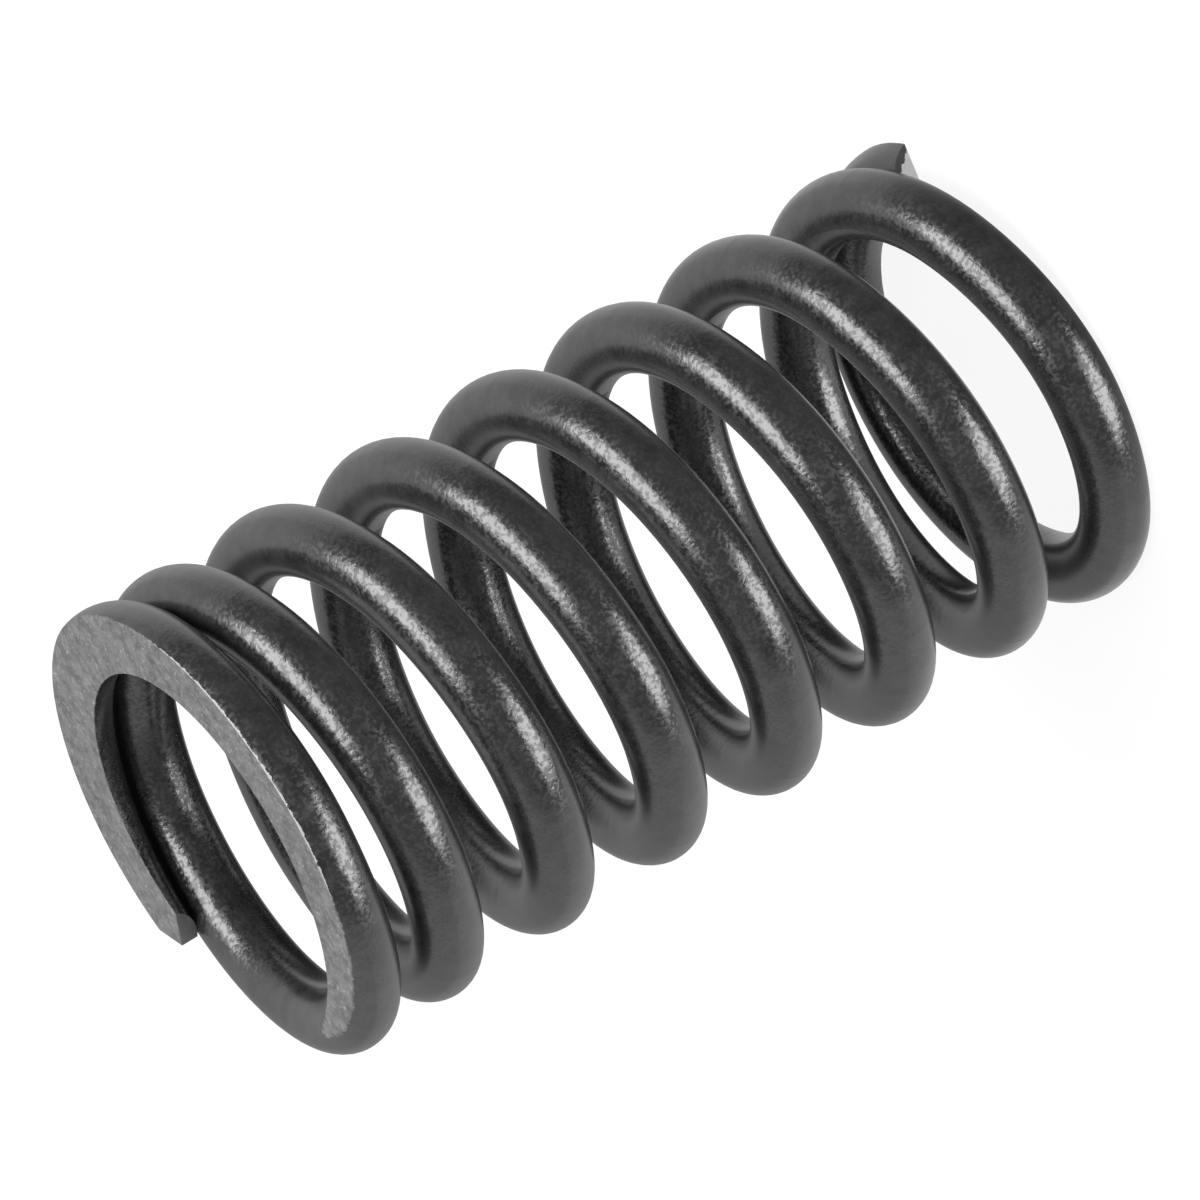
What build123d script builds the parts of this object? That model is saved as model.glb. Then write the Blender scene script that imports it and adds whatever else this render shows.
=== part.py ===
from build123d import *
from math import atan2, cos, degrees, hypot, pi, radians, sin, tan
import os

# Valve spring, wound from one length of round wire with closed and ground ends
# Its axis is Z, it stands on its bottom end at Z = 0, and the wire starts at +X and climbs right-handed

# Driving sizes in millimetres
wire_diameter = 4.0
mean_diameter = 24.6
free_length = 55.5
total_turns = 8.36
seat_gap = 0.05

# End coils: turns for which each one lies on its neighbour, turns over which it then lifts off,
# and the wire that grinding leaves at its tip
seated_turns_bottom = 0.1
seated_turns_top = 0.3
lifting_turns_bottom = 0.73
lifting_turns_top = 0.4
tip_left_bottom = 1.5
tip_left_top = 1.1

# Close winding towards the top: after some even turns the pitch falls by the same length in every turn,
# and further up it steps down once, over a part of a turn
turns_before_fall = 4.2
pitch_fall = 0.23
turns_before_step = 6.6
turns_in_step = 0.15
pitch_step = 1.8

# Sheared top tip: how far outside the wire's middle its point lies, and how many degrees its inner face
# and its outer corner turn back from the point
tip_point_offset = 0.4
tip_inner_angle = 24.0
tip_outer_angle = 56.0
tip_margin = 0.2

# The wire's centre line is a chain of tangent arcs, this many to a turn
arcs_per_turn = 12

wire_radius = wire_diameter / 2
mean_radius = mean_diameter / 2


def ease(share):
    """Rise from 0 to 1 with a level start and a level end."""
    share = min(max(share, 0), 1)
    return share ** 2 * (3 - 2 * share)


def eased_sum(share):
    """Area under the eased rise, which goes on at full height after its end."""
    held = min(max(share, 0), 1)
    return held ** 3 - held ** 4 / 2 + max(share - 1, 0)


def tightening(turn):
    """Height that the close winding takes off the even helix by this turn."""
    fall = pitch_fall / 2 * max(turn - turns_before_fall, 0) ** 2
    step = pitch_step * turns_in_step * eased_sum((turn - turns_before_step) / turns_in_step)
    return fall + step


# Each end coil is pressed on to its neighbour, one seat above or below it, and the ends are ground square
# The steepest pitch, of turns with no gap or slope, sets how far the slope spreads the seats
climb = free_length - tip_left_bottom - tip_left_top + wire_diameter + tightening(total_turns - 1)
steepest_pitch = (climb - 2 * wire_diameter) / (total_turns - 2)
seat = (wire_diameter + seat_gap) * hypot(1, steepest_pitch / (pi * mean_diameter))
pitch = (climb - 2 * seat) / (total_turns - 2)
lift = pitch - seat
drop = pitch - (tightening(total_turns) - tightening(total_turns - 1)) - seat
bottom_tip_height = tip_left_bottom - wire_radius


def height(turn):
    """Height of the wire's centre, counted in turns from the bottom tip."""
    helix = bottom_tip_height + pitch * turn - tightening(turn)
    closed_bottom = lift * ease((turn - seated_turns_bottom) / lifting_turns_bottom)
    closed_top = drop * (1 - ease((total_turns - turn - seated_turns_top) / lifting_turns_top))
    return helix - closed_bottom - closed_top


def centre(turn):
    """Point on the wire's centre line."""
    angle = 2 * pi * turn
    return Vector(mean_radius * cos(angle), mean_radius * sin(angle), height(turn))


with BuildPart() as valve_spring:
    # Wire along its centre line
    arc_count = round(total_turns * arcs_per_turn)
    stops = [centre(total_turns * index / arc_count) for index in range(arc_count + 1)]
    with BuildLine() as wire_path:
        arc = ThreePointArc(stops[0], centre(total_turns / arc_count / 2), stops[1])
        for start, end in zip(stops[1:], stops[2:]):
            arc = TangentArc(start, end, tangent=arc % 1)
    with BuildSketch(Plane(origin=wire_path.line @ 0, z_dir=wire_path.line % 0)):
        Circle(wire_radius)
    sweep(path=wire_path.line)

    # Ends ground square to the axis
    split(bisect_by=Plane.XY, keep=Keep.TOP)
    split(bisect_by=Plane.XY.offset(free_length), keep=Keep.BOTTOM)

    # Sheared point of the top tip, cut from the middle of its seat gap upwards
    tip_angle = 360 * total_turns
    tip_floor = free_length - tip_left_top - seat_gap / 2
    tip_spot = Vector(mean_radius, 0, tip_floor).rotate(Axis.Z, tip_angle)
    along_wire = Vector(0, 1, 0).rotate(Axis.Z, tip_angle)
    inner_reach = (wire_radius + tip_point_offset) * tan(radians(tip_inner_angle))
    outer_reach = (wire_radius - tip_point_offset) * tan(radians(tip_outer_angle))
    with BuildSketch(Plane(origin=tip_spot, x_dir=along_wire, z_dir=(0, 0, 1))):
        with BuildLine():
            Polyline(
                (-outer_reach, -wire_radius),
                (0, -tip_point_offset),
                (-inner_reach, wire_radius),
                (tip_margin, wire_radius),
                (tip_margin, -wire_radius),
                close=True,
            )
        make_face()
    extrude(amount=wire_diameter, mode=Mode.SUBTRACT)

valve_spring.part.label = "valve_spring"
os.makedirs("parts", exist_ok=True)
export_step(valve_spring.part, "parts/valve_spring.step")

lead_angle = degrees(atan2(pitch, pi * mean_diameter))
print(f"pitch {pitch:.3f} mm, lead angle {lead_angle:.2f} degrees, seat {seat:.3f} mm")
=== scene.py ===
from math import cos, pi, radians, sin

import bpy
from mathutils import Matrix, Quaternion, Vector


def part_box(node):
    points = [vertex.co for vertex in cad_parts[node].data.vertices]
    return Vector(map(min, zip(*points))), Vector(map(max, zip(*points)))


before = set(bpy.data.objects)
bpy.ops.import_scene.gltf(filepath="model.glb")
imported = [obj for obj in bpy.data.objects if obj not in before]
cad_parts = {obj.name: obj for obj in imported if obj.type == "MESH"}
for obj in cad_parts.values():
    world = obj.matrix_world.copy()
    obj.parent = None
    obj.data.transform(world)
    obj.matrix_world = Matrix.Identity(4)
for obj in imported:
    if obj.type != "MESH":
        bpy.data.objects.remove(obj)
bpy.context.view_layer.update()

# Sizes of the spring, in metres as all lengths here
spring_bottom, spring_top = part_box("valve_spring")
free_length = spring_top.z - spring_bottom.z
wire_diameter = 0.004
mean_radius = (spring_top.x - spring_bottom.x - wire_diameter) / 2
spring_middle = Vector((0, 0, free_length / 2))

# Camera, fitted to the outline of every turn in the photograph, with its angles in degrees
camera_heading = 109.9
camera_pitch = -22.330
camera_roll = -121.029
camera_distance = 0.58166
camera_lens = 313.68
camera_clip_start = 0.05
camera_aim = spring_middle + Vector((0.00016, 0.00020, 0.00033))

# Soft boxes: the azimuths and elevations between which each one reaches, its width as an angle, and
# its radiance
light_distance = 0.6
key_light_ends = (16, 40), (-80, 59)
key_light_width = 35
key_light_radiance = 8.1
low_light_ends = (-94, -56), (-113, -12)
low_light_width = 34
low_light_radiance = 7.6

# Room that the wire mirrors: the light of its white and its dark side
# The levels say how much of a direction points to the white side where the light changes: it rises from
# dark to white, and falls to a share of that right behind the spring
white_side_azimuth = 120.5
white_side_elevation = -11.0
white_room = 0.85
dark_room = 0.19
dark_to_white_levels = -0.3, 0.01
behind_levels = 0.49, 0.98
behind_share = 0.5

# Floor: its pale paint, its glow to the camera, and the light that the wire mirrors, which is a painted
# reflection of the room's sides and rises from a painted shade, a share of its level, between two
# distances from the axis
floor_size = 6.0
floor_paint = 0.12
floor_glow = 0.9
floor_mirrored = 1.1
painted_shade_share = 0.8
floor_near = 0.008
floor_far = 0.03

# Grain of the shot peening and its height as bump, on the wire and on the ground faces
grain_size = 0.00024
coarse_grain_size = 2.5 * grain_size
coarse_grain_share = 0.7
grain_height = 0.00002
ground_grain_height = grain_height / 3

# The grain fades out between two shares of the way from a view straight on to a view along the surface
fade_levels = 0.3, 0.6

# Grey tones, with the sizes of the mottling and the levels of its noise between which the tone changes
wire_mottle_size = 0.0012
wire_mottle_levels = 0.35, 0.65
wire_tones = 0.014, 0.028
ground_mottle_size = 0.0008
ground_mottle_levels = 0.3, 0.7
ground_tones = 0.035, 0.165
speck_levels = 0.62, 0.7
speck_tone = 0.09
# The burr's tone is a painted highlight, much lighter than the ground face
burr_highlight_tone = 0.42
sheared_tone = 0.13
dull_tone = 0.03

# Roughness of the surfaces, and the levels of the grain between which the wire's changes
wire_grain_levels = 0.46, 0.6
wire_roughnesses = 0.19, 0.42
low_angle_roughness = 0.27
ground_roughness = 0.5
sheared_roughness = 0.4
dull_roughness = 1.0

# Index of refraction of the dark oxide
oxide_ior = 1.7

# Ragged edge of the grinding: the least and the most that it reaches along the axis, its size and levels
ground_reaches = 0.00002, 0.00012
ragged_size = 0.0004
ground_edge_levels = 0.35, 0.75

# Painted highlight on the burr along the outer edge of the top face, to both sides of an azimuth in
# degrees, and the levels of its ragged line. A thin skin, which is the flat face itself, stays free of it
burr_highlight_reach = 0.00014
burr_highlight_azimuth = -58.0
burr_highlight_half_angle = 28.0
burr_highlight_fade_angle = 12.0
burr_highlight_levels = 0.3, 0.7
face_skin = 0.0000014

# How close two coils are where dirt gathers, and how open to the air that leaves the wire dull and clean
crevice_reach = 0.0003
crevice_levels = 0.25, 0.6

# Sheared faces: how much of their normal lies along the wire
sheared_slant = 0.3

# Sheared end of the bottom tip: the wire that grinding left, the height of the wire's middle, and how far
# from that middle the dull rim starts
tip_left = 0.0015
tip_middle = tip_left - wire_diameter / 2
rim_starts = 0.001395, 0.001695
rim_levels = 0.3, 0.7


def direction(azimuth, elevation):
    """Unit vector from an azimuth from +X and an elevation, both in degrees."""
    around, up = radians(azimuth), radians(elevation)
    return Vector((cos(up) * cos(around), cos(up) * sin(around), sin(up)))


def node(tree, kind, inputs=None, **settings):
    """New shader node with its settings, and its inputs set to values or linked to sockets."""
    made = tree.nodes.new(kind)
    for name, value in settings.items():
        setattr(made, name, value)
    for name, value in (inputs or {}).items():
        if isinstance(value, bpy.types.NodeSocket):
            tree.links.new(value, made.inputs[name])
        else:
            made.inputs[name].default_value = value
    return made


def maths(tree, operation, first, second=0.0):
    """Number from one or two numbers."""
    return node(tree, "ShaderNodeMath", {0: first, 1: second}, operation=operation).outputs[0]


def vectors(tree, operation, first, second=(0, 0, 0)):
    """Vector from two vectors, or the number that a dot product or a length gives."""
    made = node(tree, "ShaderNodeVectorMath", {0: first, 1: second}, operation=operation)
    return made.outputs["Value" if operation in ("DOT_PRODUCT", "LENGTH") else "Vector"]


def mix(tree, share, first, second):
    """The first number, with a share of it given to the second."""
    return node(tree, "ShaderNodeMix", {0: share, 2: first, 3: second}).outputs[0]


def spread(tree, value, low, high, to_low, to_high, **settings):
    """A value between two levels, mapped to two others and held there."""
    return node(tree, "ShaderNodeMapRange", {
        "Value": value, "From Min": low, "From Max": high, "To Min": to_low, "To Max": to_high},
        **settings).outputs["Result"]


def noise(tree, place, size, detail, roughness=0.5):
    """Noise whose largest features have the given size."""
    return node(tree, "ShaderNodeTexNoise", {
        "Vector": place, "Scale": 1 / size, "Detail": detail, "Roughness": roughness}).outputs["Fac"]


def new_material(name):
    """Empty node material, with its tree and its output."""
    material = bpy.data.materials.new(name)
    material.use_nodes = True
    tree = material.node_tree
    tree.nodes.clear()
    return material, tree, tree.nodes.new("ShaderNodeOutputMaterial")


def make_camera():
    """Camera of the photograph, which looks down on the spring and is rolled on to its side."""
    forward = direction(camera_heading, camera_pitch)
    camera = bpy.data.objects.new("camera", bpy.data.cameras.new("camera"))
    bpy.context.scene.collection.objects.link(camera)
    camera.data.lens = camera_lens
    camera.data.clip_start = camera_clip_start
    camera.location = camera_aim - forward * camera_distance
    camera.rotation_mode = "QUATERNION"
    level = forward.to_track_quat("-Z", "Y")
    camera.rotation_quaternion = level @ Quaternion((0, 0, 1), radians(camera_roll))
    bpy.context.scene.camera = camera


def soft_box(name, first, last, width, radiance):
    """Long soft box seen from the spring between two directions, with a width as an angle."""
    first, last = direction(*first), direction(*last)
    toward = (first + last).normalized()
    along = (last - first).normalized()
    lamp = bpy.data.lights.new(name, "AREA")
    lamp.shape = "RECTANGLE"
    lamp.size = (last - first).length * light_distance
    lamp.size_y = radians(width) * light_distance
    lamp.energy = radiance * pi * lamp.size * lamp.size_y
    placed = bpy.data.objects.new(name, lamp)
    bpy.context.scene.collection.objects.link(placed)
    turned = Matrix((along, toward.cross(along), toward)).transposed()
    placed.matrix_world = Matrix.Translation(spring_middle + toward * light_distance) @ turned.to_4x4()
    placed.visible_camera = False


def room_light(tree, toward, white):
    """Level of the room in a direction: dim on the near side of the spring, white to the left and right of
    it and on its far side, and less bright right behind it."""
    side = vectors(tree, "DOT_PRODUCT", toward, direction(white_side_azimuth, white_side_elevation))
    level = spread(tree, side, *dark_to_white_levels, dark_room, white, interpolation_type="SMOOTHSTEP")
    return maths(tree, "MULTIPLY", level, spread(tree, side, *behind_levels, 1, behind_share))


def make_world():
    """Room above the floor."""
    world = bpy.data.worlds.new("studio")
    bpy.context.scene.world = world
    world.use_nodes = True
    tree = world.node_tree
    tree.nodes.clear()
    toward = node(tree, "ShaderNodeTexCoord").outputs["Generated"]
    up = node(tree, "ShaderNodeSeparateXYZ", {"Vector": toward}).outputs["Z"]
    above = maths(tree, "GREATER_THAN", up, 0.0)
    level = maths(tree, "MULTIPLY", room_light(tree, toward, white_room), above)
    sky = node(tree, "ShaderNodeBackground", {"Color": (1, 1, 1, 1), "Strength": level})
    output = node(tree, "ShaderNodeOutputWorld")
    tree.links.new(sky.outputs[0], output.inputs["Surface"])


def floor_material():
    """White to the camera and pale paint to the light. The wire mirrors it with a painted reflection of
    the room's light and dark sides and a painted shade close by, and sees the low soft box through it."""
    material, tree, output = new_material("pale_floor")
    path = node(tree, "ShaderNodeLightPath").outputs
    spot = node(tree, "ShaderNodeTexCoord").outputs["Object"]
    away = vectors(tree, "LENGTH", spot)
    toward = vectors(tree, "NORMALIZE", vectors(tree, "SUBTRACT", spot, spring_middle))
    # Painted shade on the floor's mirrored glow close to the spring, and a painted reflection of the
    # room's sides
    mirrored = spread(tree, away, floor_near, floor_far, painted_shade_share, 1, interpolation_type="SMOOTHSTEP")
    mirrored = maths(tree, "MULTIPLY", mirrored, room_light(tree, toward, floor_mirrored))
    mirrored = maths(tree, "MULTIPLY", mirrored, path["Is Glossy Ray"])
    seen = maths(tree, "MAXIMUM", path["Is Camera Ray"], path["Is Transmission Ray"])
    seen = maths(tree, "MAXIMUM", seen, mirrored)
    glow = node(tree, "ShaderNodeEmission", {"Strength": maths(tree, "MULTIPLY", seen, floor_glow)})
    paint = node(tree, "ShaderNodeBsdfDiffuse", {"Color": (floor_paint, floor_paint, floor_paint, 1)})
    clear = node(tree, "ShaderNodeBsdfTransparent")
    body = node(tree, "ShaderNodeMixShader", {
        0: path["Is Glossy Ray"], 1: paint.outputs[0], 2: clear.outputs[0]})
    both = node(tree, "ShaderNodeAddShader", {0: body.outputs[0], 1: glow.outputs[0]})
    tree.links.new(both.outputs[0], output.inputs["Surface"])
    return material


def make_floor():
    """Floor that takes the spring's shadow but casts none, so that the low soft box shines past it."""
    mesh = bpy.data.meshes.new("floor")
    half = floor_size / 2
    corners = [(-half, -half, 0), (half, -half, 0), (half, half, 0), (-half, half, 0)]
    mesh.from_pydata(corners, [], [(0, 1, 2, 3)])
    mesh.materials.append(floor_material())
    floor = bpy.data.objects.new("floor", mesh)
    bpy.context.scene.collection.objects.link(floor)
    floor.visible_shadow = False


def ground_faces(tree, place, height):
    """Where the grinding reached at both ends, with ragged edges."""
    from_middle = maths(tree, "ABSOLUTE", maths(tree, "SUBTRACT", height, free_length / 2))
    depth = maths(tree, "SUBTRACT", free_length / 2, from_middle)
    ragged = noise(tree, place, ragged_size, detail=3.0, roughness=0.7)
    reach = spread(tree, ragged, *ground_edge_levels, *ground_reaches)
    return maths(tree, "LESS_THAN", depth, reach)


def burr_highlights(tree, place, height, radius):
    """Painted highlight on the burr along a part of the outer edge of the top ground face."""
    outward = vectors(tree, "NORMALIZE", vectors(tree, "MULTIPLY", place, (1, 1, 0)))
    beside = vectors(tree, "DOT_PRODUCT", outward, direction(burr_highlight_azimuth, 0))
    fade_from = cos(radians(burr_highlight_half_angle + burr_highlight_fade_angle))
    full_from = cos(radians(burr_highlight_half_angle))
    beside = spread(tree, beside, fade_from, full_from, 0, 1)
    ragged = noise(tree, place, ragged_size, detail=2.0, roughness=0.6)
    reach = maths(tree, "MULTIPLY", spread(tree, ragged, *burr_highlight_levels, 0, burr_highlight_reach), beside)
    depth = maths(tree, "SUBTRACT", free_length, height)
    close = maths(tree, "LESS_THAN", depth, reach)
    outer = maths(tree, "GREATER_THAN", radius, mean_radius)
    below_face = maths(tree, "GREATER_THAN", depth, face_skin)
    return maths(tree, "MULTIPLY", maths(tree, "MULTIPLY", close, outer), below_face)


def sheared_faces(tree, place):
    """Faces that look along the wire, where it was cut off."""
    along = vectors(tree, "NORMALIZE", vectors(tree, "CROSS_PRODUCT", (0, 0, 1), place))
    facing = node(tree, "ShaderNodeNewGeometry").outputs["True Normal"]
    facing = vectors(tree, "DOT_PRODUCT", facing, along)
    return maths(tree, "GREATER_THAN", maths(tree, "ABSOLUTE", facing), sheared_slant)


def dull_places(tree, place, height, radius, sheared):
    """Dirt where two coils nearly touch, and the dull rim of the sheared end at the bottom tip."""
    open_air = node(
        tree, "ShaderNodeAmbientOcclusion", {"Distance": crevice_reach}, samples=3).outputs["AO"]
    crevice = spread(tree, open_air, *crevice_levels, 1, 0)
    section = node(tree, "ShaderNodeCombineXYZ", {
        "X": maths(tree, "SUBTRACT", radius, mean_radius),
        "Y": maths(tree, "SUBTRACT", height, tip_middle)}).outputs[0]
    ragged = noise(tree, place, ragged_size, detail=2.0, roughness=0.6)
    ragged = spread(tree, ragged, *rim_levels, *rim_starts)
    rim = maths(tree, "GREATER_THAN", vectors(tree, "LENGTH", section), ragged)
    rim = maths(tree, "MULTIPLY", rim, sheared)
    rim = maths(tree, "MULTIPLY", rim, maths(tree, "LESS_THAN", height, free_length / 2))
    return maths(tree, "MAXIMUM", crevice, rim)


def peened_bump(tree, place, ground, at_low_angle):
    """Peened grain on the wire, nearly flat on the ground faces, which fades at a low angle."""
    coarse = noise(tree, place, coarse_grain_size, detail=1.0)
    fine = noise(tree, place, grain_size, detail=1.5)
    grain = maths(tree, "ADD", fine, maths(tree, "MULTIPLY", coarse, coarse_grain_share))
    distance = mix(tree, ground, grain_height, ground_grain_height)
    distance = mix(tree, at_low_angle, distance, 0.0)
    return node(tree, "ShaderNodeBump", {
        "Height": grain, "Distance": distance, "Strength": 1.0}).outputs["Normal"]


def surface_colour(tree, place, ground, burr_highlight, sheared, dull):
    """Grey of each kind of surface: mottled on the wire, mottled with specks where it is ground, and a
    painted highlight on the burr of the top face.
    """
    wire = noise(tree, place, wire_mottle_size, detail=3.0, roughness=0.6)
    wire = spread(tree, wire, *wire_mottle_levels, *wire_tones)
    bare = noise(tree, place, ground_mottle_size, detail=5.0, roughness=0.75)
    bare = spread(tree, bare, *ground_mottle_levels, *ground_tones)
    specks = spread(tree, noise(tree, place, grain_size, detail=1.0), *speck_levels, 0, speck_tone)
    tone = mix(tree, ground, wire, maths(tree, "ADD", bare, specks))
    # Painted highlight on the burr at the outer edge of the top face
    tone = mix(tree, burr_highlight, tone, burr_highlight_tone)
    tone = mix(tree, sheared, tone, sheared_tone)
    tone = mix(tree, dull, tone, dull_tone)
    return node(tree, "ShaderNodeCombineColor", {"Red": tone, "Green": tone, "Blue": tone}).outputs[0]


def surface_roughness(tree, place, ground, sheared, dull, at_low_angle):
    """Roughness of each kind of surface, with fine dull grains on the wire."""
    rough = noise(tree, place, grain_size, detail=1.0)
    rough = spread(tree, rough, *wire_grain_levels, *wire_roughnesses)
    rough = mix(tree, at_low_angle, rough, low_angle_roughness)
    rough = mix(tree, ground, rough, ground_roughness)
    rough = mix(tree, sheared, rough, sheared_roughness)
    return mix(tree, dull, rough, dull_roughness)


def spring_material():
    """Dark oxide on shot-peened wire, and lighter matte metal where the ends are ground or sheared."""
    material, tree, output = new_material("dark_wire")
    place = node(tree, "ShaderNodeTexCoord").outputs["Object"]
    height = node(tree, "ShaderNodeSeparateXYZ", {"Vector": place}).outputs["Z"]
    radius = vectors(tree, "LENGTH", vectors(tree, "MULTIPLY", place, (1, 1, 0)))
    facing = node(tree, "ShaderNodeLayerWeight", {"Blend": 0.5}).outputs["Facing"]
    at_low_angle = spread(tree, facing, *fade_levels, 0, 1)
    ground = ground_faces(tree, place, height)
    burr_highlight = burr_highlights(tree, place, height, radius)
    sheared = sheared_faces(tree, place)
    dull = dull_places(tree, place, height, radius, sheared)
    surface = node(tree, "ShaderNodeBsdfPrincipled", {
        "Base Color": surface_colour(tree, place, ground, burr_highlight, sheared, dull),
        "Roughness": surface_roughness(tree, place, ground, sheared, dull, at_low_angle),
        "IOR": oxide_ior,
        "Normal": peened_bump(tree, place, ground, at_low_angle)})
    tree.links.new(surface.outputs[0], output.inputs["Surface"])
    return material


make_camera()
make_floor()
make_world()
soft_box("key_light", *key_light_ends, key_light_width, key_light_radiance)
soft_box("low_light", *low_light_ends, low_light_width, low_light_radiance)

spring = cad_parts["valve_spring"]
spring.data.materials.clear()
spring.data.materials.append(spring_material())

bpy.context.scene.view_settings.view_transform = "Standard"
